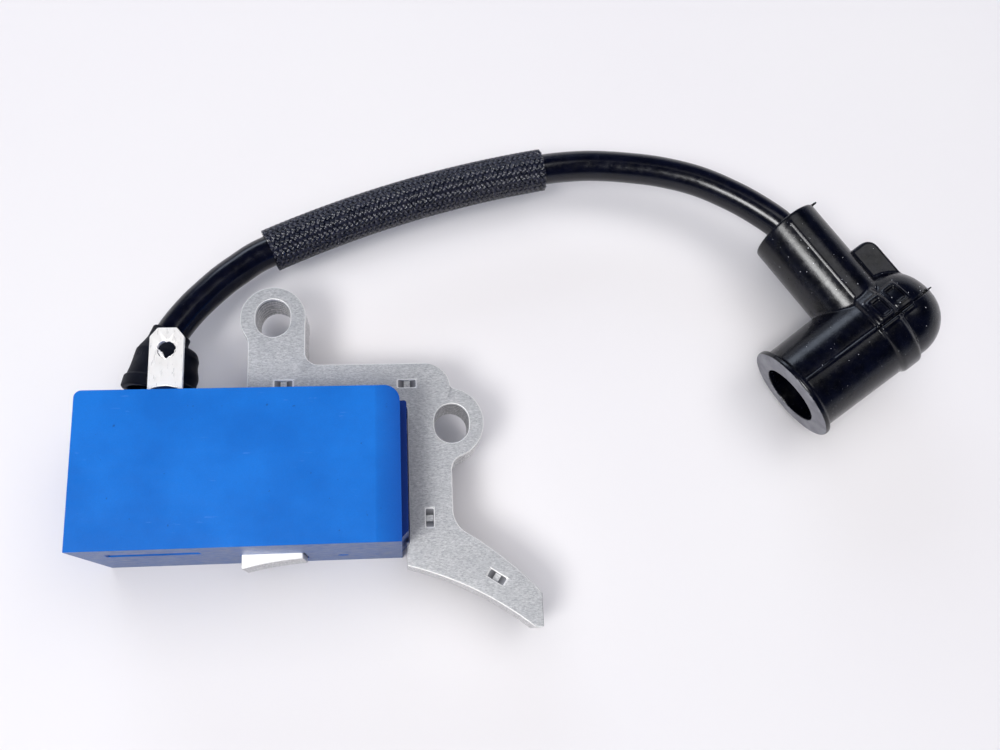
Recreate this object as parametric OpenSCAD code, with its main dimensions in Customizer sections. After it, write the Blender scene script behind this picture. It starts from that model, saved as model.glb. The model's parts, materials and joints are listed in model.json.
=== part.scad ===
// Ignition coil for a small two-stroke engine: a potted capacitor-discharge
// module on a laminated two-pole core, with its lead and spark plug boot.
// Millimetres, +Z up. The coil lies on its open, potted side.
// The sub-parts are drawn from the case's front left bottom corner, with
// X along the case, Y away from the flywheel, and placed by ref at the end.

/* [Case] */
// Length of the case along X
case_w = 44; // [42:0.5:48]
// Depth of the case along Y
case_d = 21.8; // [21:0.2:23]
// Height of the case
case_h = 23.2; // [22.8:0.2:25]
// Thickness of the case's walls
wall = 1.4; // [1.2:0.1:1.6]
// Radius of the rear left upright edge
rear_left_r = 1; // [0.5:0.5:3]
// Radius of the rear right upright edge
rear_right_r = 2.2; // [0.5:0.1:3]
// Outside radius of the tower that takes the lead
tower_r = 3.7; // [3.5:0.1:3.8]
// Place of the tower along X
tower_x = 7.4; // [7:0.1:8]

/* [Core] */
// Number of steel sheets in the core
sheets = 7; // [5:1:7]
// Thickness of one sheet
sheet_t = 1.0; // [0.8:0.1:1]
// Height of the core's lower face above the ground
core_z = 5.3; // [5.3:0.1:6]
// Width of the pole leg inside the coil
leg_w = 8.65; // [8:0.05:8.8]
// Radius of the flywheel's magnets with the air gap
pole_r = 48.4; // [46:0.2:52]
// Width of the screw slots
slot_w = 5.2; // [4.5:0.1:5.6]
// Length of the screw slots, along Y
slot_l = 6.0; // [5.8:0.1:6.4]

/* [Stop terminal] */
// Width of the spade terminal
tab_w = 4.75; // [4.6:0.05:5.2]
// Thickness of the spade terminal
tab_t = 0.8; // [0.5:0.1:0.8]
// Reach of the terminal behind the case
tab_reach = 9.5; // [8:0.1:11]

/* [Lead] */
// Diameter of the high tension lead
lead_d = 5; // [4.8:0.1:5]
// Height of the lead's centre above the ground
lead_z = 8.6; // [8.6:0.1:9.2]
// Outside diameter of the braided sleeve
sleeve_d = 7; // [6.8:0.1:7.4]
// Length of the braided sleeve
sleeve_l = 46.6; // [40:0.2:48]

/* [Plug boot] */
// Diameter of the socket for the spark plug's insulator
socket_d = 10; // [9.5:0.1:10.4]
// Outside diameter of the socket's flange
flange_d = 16.5; // [16:0.1:16.9]
// Outside diameter of the barrel that grips the lead
barrel_d = 11.5; // [11:0.1:12]
// Length from the elbow's centre to the socket's mouth
socket_reach = 16.9; // [16:0.1:17.2]
// Length from the elbow's centre to the lead barrel's rim
barrel_reach = 22.3; // [21:0.1:23]
// Height of the elbow's centre above the ground
elbow_z = 11.5; // [11.4:0.1:12]
// How far the socket points down to the ground, in degrees
boot_dip = 10; // [8:0.5:10]

/* [Hidden] */

$fn = 64;
e = 0.01;

// Core outline
leg_x = 21.2;
leg_end = leg_x + leg_w;
stem_x = 21.35;
bar_y = [22, 28.1];
right_leg = [45.1, 51.55];
bar_end = 51.7;
bar_corner_r = 4;
left_ear = [25, 35.6];
left_ear_r = 4.95;
left_slot = [25, 35.6];
right_ear = [51.1, 18.7];
right_ear_r = 5.45;
right_slot = [51.7, 18.6];
pole_c = [32.2, -49.1];
shoe_c = [26.8, -40.1];
shoe_r = 50;
shoe_x = [44.75, 64.1];
shoe_low = -11.65;
core_top = core_z + sheets * sheet_t;

// Pressed clinches: place and turn of each one in the outline
clinches = [[26.7, 25.1, 0], [45.1, 24.9, 0], [48.1, 4.5, 90], [57.6, -4.4, -33]];
clinch_l = 3.2;
clinch_w = 1.2;
clinch_flat = 0.9;
clinch_depth = 0.6;

// Tunnel for the pole leg
tunnel_x = [leg_x - 0.25, leg_end + 0.25];
tunnel_z = [core_z - 0.2, core_top + 0.3];
tunnel_wall = 0.8;

// Inside of the case
inner = [[wall, case_w - wall], [wall, case_d - wall]];
roof = case_h - wall;
resin_z = 0.4;

// Coil around the tunnel: half sizes of the tunnel's tube, then offsets from it
coil_c = [(tunnel_x[0] + tunnel_x[1]) / 2, (tunnel_z[0] + tunnel_z[1]) / 2];
tube_half = [(tunnel_x[1] - tunnel_x[0]) / 2 + tunnel_wall,
             (tunnel_z[1] - tunnel_z[0]) / 2 + tunnel_wall];
bobbin_wall = 0.6;
coil_flange = bobbin_wall + 2.6;
charge_y = [2.2, 6.4];
trigger_y = [7, 8.6];
primary_y = [9.4, inner[1][1] - 0.8];
primary_out = bobbin_wall + 0.75;
secondary_in = primary_out + 0.05;
secondary_wall = 0.4;
secondary_out = secondary_in + 1.6;
chambers = 4;
chamber_flange = 0.5;

// Circuit board and what hangs from it
board = [[2, 42], [2, 19.9], [19.2, 20.4]];
board_low = board[2][0];
tab_z = board[2][1];
tab_c = 11.5;

// Tower, pin and gland
tower_end = 23;
tower_bore_r = 2.75;
pin_r = 0.9;
pin_y = [17.6, 22.3];
gland_base = [7.6, 24.8];
gland_lean = 12;
neck_foot = [8.1, 31.6];
neck_lean = 22.8;
neck_l = 3.2;

// Sleeve: the centre of the lead's bend there, its radius and its middle
bend_c = [100.9, -114.6];
bend_r = 180;
sleeve_mid = 107.9;
sleeve_bore_d = 5.9;
sleeve_half = sleeve_l / 2 / bend_r * 180 / PI;

// Plug boot
boot_c = [119.9, 32.2, elbow_z];
boot_turn = 34.5;
dome_r = 6.85;
dome_at = [4.4, -0.6];
elbow_r = 7.4;
collar = [-1.2, 3.2, 8.1];
lead_bore_r = 2.6;
chamber_x = [-6.6, -2.4];
chamber_r = 3.7;
spike_x = [-2.7, 2.2];
wire_d = 0.8;

// Route of the lead, by hand: out of the tower, through the gland, under the
// sleeve and to the boot's rim; then straight down the boot's barrel
route_level = [
    [7.4, 22.3], [7.4, 25.2], [7.4, 27.2], [7.5, 29.2], [7.9, 31.2], [8.6, 33.1],
    [9.6, 35], [10.9, 36.9], [12.5, 38.9], [14.5, 41], [16.8, 43.2], [19.2, 45.1],
    [21.5, 46.8], [23.9, 48.1], [32, 51.7], [40.8, 55.1], [49.8, 58], [58.9, 60.4],
    [68.1, 62.4]];
route_rising = [
    [72.2, 62.9, 0.1], [76.4, 63, 0.35], [81.8, 62.5, 0.8], [88, 61.4, 1.35],
    [94.2, 59.4, 1.9], [99.8, 56.4, 2.4], [103.8, 53.6, 2.75]];
boot_steps = [22.4, 18, 12, 6, -2];
boot_up = [-sin(boot_turn), cos(boot_turn), 0];
route = concat([for (p = route_level) [p[0], p[1], lead_z]],
               [for (p = route_rising) p + [0, 0, lead_z]],
               [for (s = boot_steps) boot_c + s * boot_up]);
lead_sides = 10;

// Origin: middle of the coil's own footprint, on the ground
ref = [shoe_x[1] / 2, (left_ear[1] + left_ear_r + shoe_low) / 2, 0];

// A box between low and high values along each axis
module span(x, y, z) {
    translate([x[0], y[0], z[0]])
        cube([x[1] - x[0], y[1] - y[0], z[1] - z[0]]);
}

// A cylinder along +Y
module rod_y(x, z, y, r, r_end = -1) {
    translate([x, y[0], z])
        rotate([-90, 0, 0])
            cylinder(h = y[1] - y[0], r1 = r, r2 = r_end < 0 ? r : r_end);
}

// A cylinder along +X
module rod_x(y, z, x, r) {
    translate([x[0], y, z])
        rotate([0, 90, 0])
            cylinder(h = x[1] - x[0], r = r);
}

// Concave fillet of radius r between the upright line x = a and a circle.
// side is the line's open side and way is +1 above the circle, -1 below it.
// nick makes its arc cross both instead of only touching them.
nick = 0.01;
module fillet_to_circle(a, side, way, c, cr, r) {
    f = [a + side * r, c[1] + way * sqrt(pow(cr + r, 2) - pow(a + side * r - c[0], 2))];
    touch = c + (f - c) * cr / (cr + r);
    within = touch + (c - touch) / cr;
    difference() {
        polygon([[a, f[1]], touch, within, [a - side, within[1]], [a - side, f[1]]]);
        translate(f)
            circle(r = r + nick);
    }
}

// Concave fillet of radius r between two circles, on the right going from a to b
module fillet_of_circles(a, ar, b, br, r) {
    gap = norm(b - a);
    along = (pow(ar + r, 2) - pow(br + r, 2) + gap * gap) / (2 * gap);
    out = sqrt(pow(ar + r, 2) - along * along);
    to_b = (b - a) / gap;
    f = a + along * to_b + out * [-to_b[1], to_b[0]];
    touch_a = a + (f - a) * ar / (ar + r);
    touch_b = b + (f - b) * br / (br + r);
    difference() {
        polygon([touch_a, touch_b, touch_b + (b - touch_b) / br, touch_a + (a - touch_a) / ar]);
        translate(f)
            circle(r = r + nick);
    }
}

module screw_slot(at) {
    shift = (slot_l - slot_w) / 2;
    for (s = [-1, 1])
        translate([at[0], at[1] + s * shift])
            circle(d = slot_w);
    translate([at[0] - slot_w / 2, at[1] - shift])
        square([slot_w, 2 * shift]);
}

module pole_shoe() {
    intersection() {
        translate([shoe_x[0], shoe_low])
            square([shoe_x[1] - shoe_x[0], bar_y[0] - shoe_low]);
        translate(shoe_c)
            circle(r = shoe_r, $fn = 256);
    }
}

module core_outline() {
    bar_fillet = 2.1;
    difference() {
        union() {
            // leg through the coil, and the stem up to the left ear
            translate([leg_x, -3])
                square([leg_w, bar_y[0] + 3.2]);
            translate([stem_x, bar_y[0]])
                square([leg_end - stem_x, left_ear[1] - bar_y[0]]);
            translate(left_ear)
                circle(r = left_ear_r);
            fillet_to_circle(stem_x, -1, -1, left_ear, left_ear_r, 3);
            // bar behind the case, round at its right end
            translate([stem_x, bar_y[0]])
                square([bar_end - bar_corner_r - stem_x, bar_y[1] - bar_y[0]]);
            translate([right_leg[0], bar_y[0] - 1])
                square([bar_end - right_leg[0], bar_y[1] - bar_corner_r + 1 - bar_y[0]]);
            translate([bar_end - bar_corner_r, bar_y[1] - bar_corner_r])
                circle(r = bar_corner_r);
            difference() {
                translate([leg_end - 1, bar_y[1] - 1])
                    square([bar_fillet + 1, bar_fillet + 1]);
                translate([leg_end + bar_fillet, bar_y[1] + bar_fillet])
                    circle(r = bar_fillet + nick);
            }
            // right ear and leg, and the shoe over the flywheel
            translate(right_ear)
                circle(r = right_ear_r);
            fillet_of_circles([bar_end - bar_corner_r, bar_y[1] - bar_corner_r],
                              bar_corner_r, right_ear, right_ear_r, 0.8);
            fillet_to_circle(right_leg[1], 1, -1, right_ear, right_ear_r, 2.2);
            translate([right_leg[0], 0])
                square([right_leg[1] - right_leg[0], bar_y[0]]);
            fillet_to_circle(right_leg[1], 1, 1, shoe_c, shoe_r, 4);
            difference() {
                pole_shoe();
                translate([shoe_x[0] - 1, 1])
                    square([right_leg[0] - shoe_x[0] + 1, bar_y[0]]);
                translate([right_leg[1], 4])
                    square([20, 20]);
            }
        }
        screw_slot(left_slot);
        screw_slot(right_slot);
        translate(pole_c)
            circle(r = pole_r, $fn = 256);
    }
}

// Trough of one clinch, with sloping ends and a flat middle
module clinch(at) {
    translate([at[0], at[1], 0])
        rotate([0, 0, at[2]])
            rotate([90, 0, 0])
                linear_extrude(height = clinch_w, center = true)
                    polygon([[-clinch_l / 2, e], [-clinch_flat / 2, -clinch_depth],
                             [clinch_flat / 2, -clinch_depth], [clinch_l / 2, e]]);
}

// One sheet, counted from the bottom; the lowest one has open slots instead of troughs
module lamination(i) {
    z = core_z + (i - 1) * sheet_t;
    color([0.66, 0.67, 0.69])
        difference() {
            union() {
                translate([0, 0, z])
                    linear_extrude(height = sheet_t)
                        core_outline();
                for (c = clinches)
                    translate([0, 0, z + e])
                        clinch(c);
            }
            for (c = clinches)
                if (i > 1)
                    translate([0, 0, z + sheet_t])
                        clinch(c);
                else
                    translate([c[0], c[1], z + sheet_t / 2])
                        rotate([0, 0, c[2]])
                            cube([clinch_l + 0.1, clinch_w + 0.1, sheet_t + 2], center = true);
        }
}

module case_outline() {
    difference() {
        square([case_w, case_d]);
        translate([-e, case_d - rear_left_r])
            square([rear_left_r + e, rear_left_r + e]);
        translate([case_w - rear_right_r, case_d - rear_right_r])
            square([rear_right_r + e, rear_right_r + e]);
    }
    translate([rear_left_r, case_d - rear_left_r])
        circle(r = rear_left_r);
    translate([case_w - rear_right_r, case_d - rear_right_r])
        circle(r = rear_right_r);
}

// Rib along the right side that meets the core's right leg
module side_rib() {
    out = right_leg[0] - 0.15;
    linear_extrude(height = case_h - 3.7)
        polygon([[case_w - 1, 0.9], [case_w, 0.9], [out, 1.9], [out, 20.2],
                 [out - 0.25, 20.45], [case_w - 1, 20.45]]);
}

// Half-round boss that holds the stop terminal, grown by gap for its notch
module tab_boss(gap, z) {
    boss_r = 4.5;
    boss_top = case_d + 0.85;
    translate([0, 0, z[0]])
        linear_extrude(height = z[1] - z[0])
            intersection() {
                translate([tab_c, boss_top - boss_r])
                    circle(r = boss_r + gap);
                translate([tab_c - 1.95 - gap, case_d - 0.4])
                    square([3.9 + 2 * gap, 3]);
            }
}

module case_shell() {
    recess = [[3.7, 16.3], [-1, 0.8], [15.4, 17.9]];
    color([0.06, 0.42, 0.86])
        difference() {
            union() {
                difference() {
                    linear_extrude(height = case_h)
                        case_outline();
                    span(inner[0], inner[1], [-1, roof]);
                }
                span([tunnel_x[0] - tunnel_wall, tunnel_x[1] + tunnel_wall],
                     [wall / 2, case_d - wall / 2],
                     [tunnel_z[0] - tunnel_wall, tunnel_z[1] + tunnel_wall]);
                rod_y(tower_x, lead_z, [case_d - 0.5, tower_end], tower_r);
                side_rib();
                tab_boss(0, [tab_z - 0.5, tab_z + tab_t + 0.15]);
            }
            span(tunnel_x, [-1, case_d + 1], tunnel_z);
            rod_y(tower_x, lead_z, [pin_y[1] - 0.1, tower_end + 1], tower_bore_r);
            rod_y(tower_x, lead_z, [wall, pin_y[1]], pin_r);
            span(recess[0], recess[1], recess[2]);
            rod_y(35.3, 7.6, [-1, 0.6], 0.8);
            stop_tab_solid();
            strap_solid();
        }
}

module potting_resin() {
    color([0.12, 0.11, 0.10])
        difference() {
            span(inner[0], inner[1], [resin_z, roof]);
            coil_layer(0, coil_flange, [0, case_d]);
            span([coil_c[0] - tube_half[0], coil_c[0] + tube_half[0]], [0, case_d],
                 [coil_c[1] - tube_half[1], coil_c[1] + tube_half[1]]);
            span(board[0], board[1], board[2]);
            capacitor_solid();
            thyristor_solid();
            diodes_solid();
            resistors_solid();
            pin_solid();
            link_solid();
            stop_tab_solid();
            strap_solid();
        }
}

// Ring around the tunnel's tube between two offsets, with round outer corners
module coil_layer(from, to, y) {
    outer = tube_half + [to, to];
    cut = tube_half + [from, from];
    translate([coil_c[0], y[1], coil_c[1]])
        rotate([90, 0, 0])
            linear_extrude(height = y[1] - y[0])
                difference() {
                    union() {
                        square([2 * outer[0] - 2 * to, 2 * outer[1]], center = true);
                        square([2 * outer[0], 2 * outer[1] - 2 * to], center = true);
                        for (sx = [-1, 1], sz = [-1, 1])
                            translate([sx * tube_half[0], sz * tube_half[1]])
                                circle(r = to);
                    }
                    if (from > 0) {
                        square([2 * cut[0] - 2 * from, 2 * cut[1]], center = true);
                        square([2 * cut[0], 2 * cut[1] - 2 * from], center = true);
                        for (sx = [-1, 1], sz = [-1, 1])
                            translate([sx * tube_half[0], sz * tube_half[1]])
                                circle(r = from);
                    } else {
                        square([2 * cut[0], 2 * cut[1]], center = true);
                    }
                }
}

module coil_bobbin() {
    ends = [[inner[1][0], charge_y[0]], [charge_y[1], trigger_y[0]],
            [trigger_y[1], primary_y[0]], [primary_y[1], inner[1][1]]];
    color([0.85, 0.83, 0.76]) {
        coil_layer(0, bobbin_wall, inner[1]);
        for (y = ends)
            coil_layer(0, coil_flange, y);
    }
}

module charge_winding() {
    color([0.72, 0.36, 0.16])
        coil_layer(bobbin_wall, bobbin_wall + 2.1, charge_y);
}

module trigger_winding() {
    color([0.76, 0.42, 0.18])
        coil_layer(bobbin_wall, bobbin_wall + 1.5, trigger_y);
}

module primary_winding() {
    color([0.72, 0.38, 0.14])
        coil_layer(bobbin_wall, primary_out, primary_y);
}

function chamber_w() =
    (primary_y[1] - primary_y[0] - (chambers + 1) * chamber_flange) / chambers;

module secondary_bobbin() {
    color([0.88, 0.87, 0.80]) {
        coil_layer(secondary_in, secondary_in + secondary_wall, primary_y);
        for (i = [0:chambers]) {
            y = primary_y[0] + i * (chamber_w() + chamber_flange);
            coil_layer(secondary_in, secondary_out, [y, y + chamber_flange]);
        }
    }
}

module secondary_winding() {
    color([0.80, 0.47, 0.22])
        for (i = [0:chambers - 1]) {
            y = primary_y[0] + chamber_flange + i * (chamber_w() + chamber_flange);
            coil_layer(secondary_in + secondary_wall, secondary_out - 0.2, [y, y + chamber_w()]);
        }
}

module circuit_board() {
    color([0.10, 0.36, 0.18])
        span(board[0], board[1], board[2]);
}

module capacitor_solid() {
    span([35, 41.8], [4.5, 16.5], [board_low - 9.5, board_low]);
}

module charge_capacitor() {
    color([0.70, 0.16, 0.10])
        capacitor_solid();
}

// A plastic half-round package on three legs
module thyristor_solid() {
    at = [4.9, 6];
    body_z = [board_low - 5.6, board_low - 1];
    intersection() {
        translate([at[0], at[1], body_z[0]])
            cylinder(h = body_z[1] - body_z[0], r = 2.4);
        span([at[0] - 3, at[0] + 3], [at[1] - 1.6, at[1] + 3], body_z);
    }
    for (s = [-1.27, 0, 1.27])
        translate([at[0] + s, at[1], body_z[1] - 0.1])
            cylinder(h = board_low - body_z[1] + 0.1, r = 0.25);
}

module thyristor() {
    color([0.10, 0.10, 0.11])
        thyristor_solid();
}

module diodes_solid() {
    for (y = [5, 9, 13])
        rod_x(y, board_low - 1.25, [10.2, 14.8], 1.25);
}

module diodes() {
    color([0.13, 0.13, 0.14])
        diodes_solid();
}

module resistors_solid() {
    for (y = [10.5, 13, 15.5])
        rod_x(y, board_low - 0.85, [3.6, 7.4], 0.85);
}

module resistors() {
    color([0.78, 0.66, 0.44])
        resistors_solid();
}

// Pin that carries the high tension through the rear wall, with a spike for the lead
module pin_solid() {
    rod_y(tower_x, lead_z, [pin_y[0], pin_y[0] + 0.8], 2);
    rod_y(tower_x, lead_z, pin_y, pin_r);
    rod_y(tower_x, lead_z, [pin_y[1] - e, pin_y[1] + 3.4], 0.7, 0.15);
}

module ht_pin() {
    color([0.80, 0.66, 0.30])
        pin_solid();
}

module link_solid() {
    rod_x(pin_y[0] + 0.4, lead_z,
          [tower_x + 1.95, coil_c[0] - tube_half[0] - secondary_out + 0.2], 0.35);
}

module ht_link() {
    color([0.80, 0.80, 0.82])
        link_solid();
}

// Strap from the board to the top of the core leg, through the rear wall
module strap_solid() {
    strap_x = [24, 27];
    strap_t = 0.25;
    up_y = [case_d - wall + 0.15, case_d - wall + 0.4];
    span(strap_x, [8, up_y[1]], [core_top, core_top + strap_t]);
    span(strap_x, up_y, [core_top, board_low]);
    span(strap_x, [board[1][1] - 0.9, up_y[1]], [board_low - strap_t, board_low]);
}

module ground_strap() {
    color([0.82, 0.82, 0.84])
        strap_solid();
}

module stop_tab_solid() {
    end_y = case_d + tab_reach;
    half = tab_w / 2;
    chamfer = [1.05, 1.3];
    difference() {
        translate([0, 0, tab_z])
            linear_extrude(height = tab_t)
                polygon([[tab_c - half, 17], [tab_c + half, 17],
                         [tab_c + half, end_y - chamfer[1]], [tab_c + half - chamfer[0], end_y],
                         [tab_c - half + chamfer[0], end_y], [tab_c - half, end_y - chamfer[1]]]);
        translate([tab_c, end_y - 3.2, tab_z - 1])
            cylinder(h = tab_t + 2, r = 1.3);
        tab_boss(0.12, [tab_z - 1, tab_z + tab_t + 1]);
    }
}

module stop_tab() {
    color([0.86, 0.86, 0.84])
        stop_tab_solid();
}

// Rubber cap for the tower, slid back: a leaning bell with a collar, and a neck along the lead
module lead_gland() {
    color([0.05, 0.05, 0.06])
        difference() {
            union() {
                translate([gland_base[0], gland_base[1], lead_z])
                    rotate([0, 0, -gland_lean])
                        rotate([-90, 0, 0])
                            rotate_extrude()
                                polygon([[0, 0], [5.55, 0], [5.5, 1.7], [5.25, 1.9],
                                         [4.75, 6.3], [3.9, 7.7], [0, 7.7]]);
                translate([neck_foot[0], neck_foot[1], lead_z])
                    rotate([0, 0, -neck_lean])
                        rod_y(0, 0, [0, neck_l], 2.95);
            }
            translate([gland_base[0], gland_base[1], lead_z])
                rotate([0, 0, -gland_lean])
                    rotate([-90, 0, 0])
                        rotate_extrude()
                            polygon([[0, -1], [4.5, -1], [4.5, 5], [3.6, 6], [0, 6]]);
            translate([neck_foot[0], neck_foot[1], lead_z])
                rotate([0, 0, -neck_lean])
                    rod_y(0, 0, [-1, neck_l + 1], 2.7);
        }
}

// A nearly level tube of the given sides swept along points, its rings square to the way
function way(p, i) =
    let (a = p[max(i - 1, 0)], b = p[min(i + 1, len(p) - 1)])
    (b - a) / norm(b - a);
module swept_tube(p, r, sides) {
    rings = len(p);
    points = [for (i = [0:rings - 1], k = [0:sides - 1])
        let (w = way(p, i), a = 360 * k / sides)
        p[i] + r * [cos(a) * w[1], -cos(a) * w[0], sin(a)]];
    faces = concat(
        [[for (k = [0:sides - 1]) k]],
        [for (i = [0:rings - 2], k = [0:sides - 1])
            let (n = (k + 1) % sides)
            [i * sides + k, (i + 1) * sides + k, (i + 1) * sides + n, i * sides + n]],
        [[for (k = [sides - 1:-1:0]) (rings - 1) * sides + k]]);
    polyhedron(points, faces);
}

module ht_lead() {
    color([0.03, 0.03, 0.04])
        swept_tube(route, lead_d / 2, lead_sides);
}

module braided_sleeve() {
    color([0.08, 0.08, 0.09])
        translate([bend_c[0], bend_c[1], lead_z])
            rotate([0, 0, sleeve_mid - sleeve_half])
                rotate_extrude(angle = 2 * sleeve_half, $fn = 256)
                    translate([bend_r, 0])
                        difference() {
                            circle(d = sleeve_d);
                            circle(d = sleeve_bore_d);
                        }
}

// Places its children in the boot's frame: X to the dome, Y to the lead's rim
module at_boot() {
    translate(boot_c)
        rotate([0, 0, boot_turn])
            rotate([0, -boot_dip, 0])
                children();
}

module boot_body() {
    flange_r = flange_d / 2;
    mouth = -socket_reach;
    rotate([0, 90, 0])
        rotate_extrude()
            polygon([[0, mouth], [flange_r - 0.3, mouth], [flange_r, mouth + 0.4],
                     [flange_r - 0.2, mouth + 1], [6.9, mouth + 1.5], [7.5, collar[0]],
                     [collar[2], collar[0] + 0.1], [collar[2], collar[1] - 1.6],
                     [collar[2] - 0.6, collar[1] - 0.4], [elbow_r - 0.3, collar[1]],
                     [5.6, dome_at[0] + 2], [0, dome_at[0] + 2]]);
    translate([dome_at[0], dome_at[1], 0])
        sphere(r = dome_r);
    rod_y(0, 0, [0, barrel_reach], barrel_d / 2);
    grip_tab();
}

// Thumb tab beside the lead barrel
module grip_tab() {
    grip = [[4, 10.3], [0, 12.3], 4.4];
    corner = 2.6;
    translate([0, 0, -grip[2] / 2])
        linear_extrude(height = grip[2]) {
            translate([grip[0][0], grip[1][0]])
                square([grip[0][1] - grip[0][0], grip[1][1] - corner - grip[1][0]]);
            translate([grip[0][0], grip[1][0]])
                square([grip[0][1] - corner - grip[0][0], grip[1][1] - grip[1][0]]);
            translate([grip[0][1] - corner, grip[1][1] - corner])
                circle(r = corner);
        }
}

module plug_boot() {
    color([0.04, 0.04, 0.06])
        at_boot()
            difference() {
                boot_body();
                rod_x(0, 0, [-socket_reach - 1, chamber_x[0]], socket_d / 2);
                rod_x(0, 0, [chamber_x[0] - 1, chamber_x[1]], chamber_r);
                rod_x(0, 0, [chamber_x[1] - 1, 0], 2);
                rod_y(0, 0, [-2.2, barrel_reach + 1], lead_bore_r);
                rod_y(0, 0, [barrel_reach - 1.5, barrel_reach + e], lead_bore_r, 3.4);
            }
}

// Wire that grips the plug's tip: a coil whose last turn closes on the spike
boot_turns = 2.5;
boot_rings = 50;
function spring_r(u) = u < 0.8 ? 2.8 : 2.8 - (u - 0.8) / 0.2 * 1.9;
function spring_at(u) =
    let (a = 360 * boot_turns * u, r = spring_r(u),
         low = chamber_x[0] + wire_d / 2 + 0.3, high = spike_x[0] - wire_d / 2)
    [low + (high - low) * u, r * cos(a), r * sin(a)];
module boot_spring() {
    sides = 6;
    points = [for (i = [0:boot_rings], k = [0:sides - 1])
        let (u = i / boot_rings, p = spring_at(u), a = 360 * boot_turns * u,
             out = [0, cos(a), sin(a)], t = 360 * k / sides)
        p + wire_d / 2 * (cos(t) * out + sin(t) * [1, 0, 0])];
    faces = concat(
        [[for (k = [sides - 1:-1:0]) k]],
        [for (i = [0:boot_rings - 1], k = [0:sides - 1])
            let (n = (k + 1) % sides)
            [i * sides + k, i * sides + n, (i + 1) * sides + n, (i + 1) * sides + k]],
        [[for (k = [0:sides - 1]) boot_rings * sides + k]]);
    color([0.78, 0.78, 0.80])
        at_boot()
            polyhedron(points, faces);
}

module lead_spike() {
    color([0.80, 0.80, 0.82])
        at_boot()
            rod_x(0, 0, spike_x, 0.5);
}

translate(-ref) {
    case_shell();
    potting_resin();
    for (i = [1:sheets])
        lamination(i);
    ground_strap();
    coil_bobbin();
    charge_winding();
    trigger_winding();
    primary_winding();
    secondary_bobbin();
    secondary_winding();
    circuit_board();
    charge_capacitor();
    thyristor();
    diodes();
    resistors();
    ht_pin();
    ht_link();
    stop_tab();
    lead_gland();
    ht_lead();
    braided_sleeve();
    plug_boot();
    boot_spring();
    lead_spike();
}
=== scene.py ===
"""Ignition coil with its lead and plug boot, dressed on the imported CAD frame.

Sizes here are in millimetres from the case's front left bottom corner, as in
part.scad. at() turns them into metres in the row frame.
"""
import json
import math

import bpy
import numpy as np
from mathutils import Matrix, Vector


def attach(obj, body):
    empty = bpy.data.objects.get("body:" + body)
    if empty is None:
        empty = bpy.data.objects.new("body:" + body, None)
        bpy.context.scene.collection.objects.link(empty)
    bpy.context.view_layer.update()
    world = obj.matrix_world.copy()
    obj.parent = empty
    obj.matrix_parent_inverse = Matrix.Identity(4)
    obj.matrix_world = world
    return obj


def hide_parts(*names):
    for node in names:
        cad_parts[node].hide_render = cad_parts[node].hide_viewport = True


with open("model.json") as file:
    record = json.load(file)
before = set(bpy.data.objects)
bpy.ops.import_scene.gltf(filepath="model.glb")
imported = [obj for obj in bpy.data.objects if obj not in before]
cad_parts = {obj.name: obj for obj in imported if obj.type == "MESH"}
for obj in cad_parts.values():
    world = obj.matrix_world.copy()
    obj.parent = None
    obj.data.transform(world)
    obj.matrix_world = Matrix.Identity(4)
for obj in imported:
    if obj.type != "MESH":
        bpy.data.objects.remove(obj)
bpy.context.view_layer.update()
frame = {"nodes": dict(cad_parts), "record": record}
nodes = frame["nodes"]
scene = bpy.context.scene

REF = np.array([32.05, 14.45, 0.0])
LEAD_Z = 8.6
BOOT = np.array([119.9, 32.2, 11.5])
BOOT_TURN = math.radians(34.5)
BOOT_DIP = math.radians(10)
BEND = np.array([100.9, -114.6, LEAD_Z])
BEND_R = 180.0
SLEEVE_MID = math.radians(107.9)
SLEEVE_L = 46.6

# Places in millimetres in the row frame, as the materials' object coordinates have them
CASE_RIGHT = 11.97      # X past which the case is its side and its rib, painted in shade
CASE_BACK = 7.40        # Y past which the case is its tower and its boss, painted in shade
FALL_START = 8.5        # X where the case's top starts to fall off
FALL_WIDTH = 3.3
FALL_DEPTH = 0.75
SHEET_T = 1.0
CORE_LOW = 5.3
CORE_TOP = 12.3
TROUGH_DEPTH = 0.6
TOP_ROUNDING = 0.14     # how far down the top sheet's rounded edges reach, which get a painted highlight
TOP_BAND = 0.55         # how far down the cut sides get a painted highlight
LEG_TIP = (-1.0, -14.2)  # the leg's bare tip has a smaller X and Y than this


def at(p):
    """Millimetres in part.scad's drawing to metres in the row frame."""
    return (np.asarray(p, float) - REF) / 1000.0


# ---------------------------------------------------------------- camera

CAMERA_PLACE = (44.17, -14.91, 159.89)
CAMERA_TURN = (15.64, -5.18, -2.47)  # degrees

camera = bpy.data.objects.new("camera", bpy.data.cameras.new("camera"))
scene.collection.objects.link(camera)
camera.location = at(CAMERA_PLACE)
camera.rotation_euler = [math.radians(a) for a in CAMERA_TURN]
camera.data.sensor_width = 36.0
camera.data.lens = 36.2
camera.data.clip_start = 0.01
scene.camera = camera


# ---------------------------------------------------------------- materials

def new_material(name):
    """A node material, with its tree and its shader."""
    mat = bpy.data.materials.new(name)
    mat.use_nodes = True
    tree = mat.node_tree
    return mat, tree, tree.nodes["Principled BSDF"]


def coords(tree, scale=(1, 1, 1), turn=(0, 0, 0)):
    """Object coordinates in millimetres, stretched and turned."""
    source = tree.nodes.new("ShaderNodeTexCoord")
    mapping = tree.nodes.new("ShaderNodeMapping")
    mapping.inputs["Scale"].default_value = [1000 * s for s in scale]
    mapping.inputs["Rotation"].default_value = [math.radians(a) for a in turn]
    tree.links.new(source.outputs["Object"], mapping.inputs["Vector"])
    return mapping.outputs["Vector"]


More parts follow.
